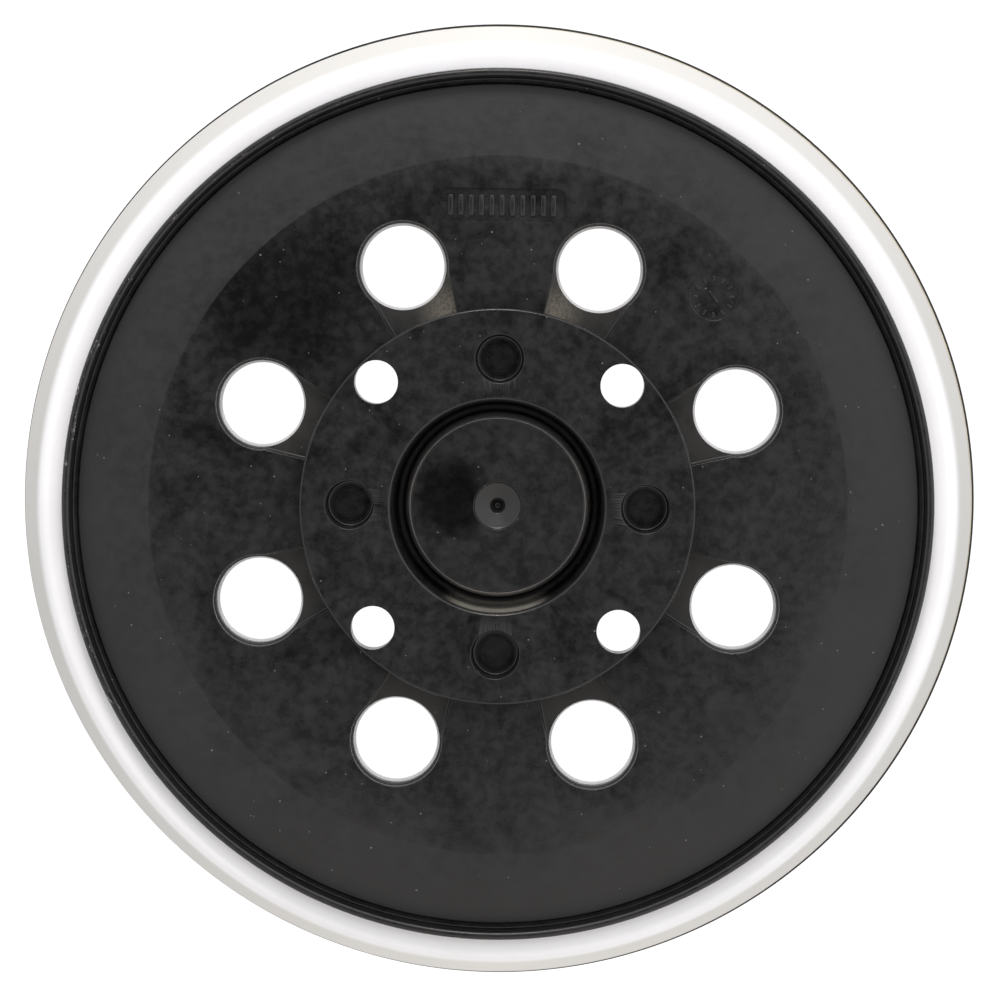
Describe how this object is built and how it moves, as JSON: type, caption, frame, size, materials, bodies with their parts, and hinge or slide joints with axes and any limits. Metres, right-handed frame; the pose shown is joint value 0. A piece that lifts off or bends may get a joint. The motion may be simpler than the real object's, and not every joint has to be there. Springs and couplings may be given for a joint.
{
  "type": "sander backing pad",
  "caption": "Round backing pad of a random-orbit sander: carrier plate with a raised drive hub, bonded foam ring and hook disc, vented by a ring of dust holes.",
  "frame": {"origin": "middle of the hook face, on the pad's axis, at the bottom of the bounding box", "axes": "+Z along the pad's axis towards the machine, +X and +Y through the middles of two blind peg pockets, so that two dust holes stand 22.5 degrees either side of each"},
  "size_m": [0.123, 0.123, 0.0184],
  "materials": {
    "carrier": "fine-grained black moulded polyamide, satin",
    "foam": "moulded polyurethane foam with a smooth matt skin",
    "adhesive": "thin film of set adhesive",
    "hooks": "black nylon hook tape"
  },
  "bodies": {
    "root": {"carrier_plate": "carrier", "foam_pad": "foam", "adhesive_film": "adhesive", "hook_disc": "hooks"}
  },
  "joints": []
}
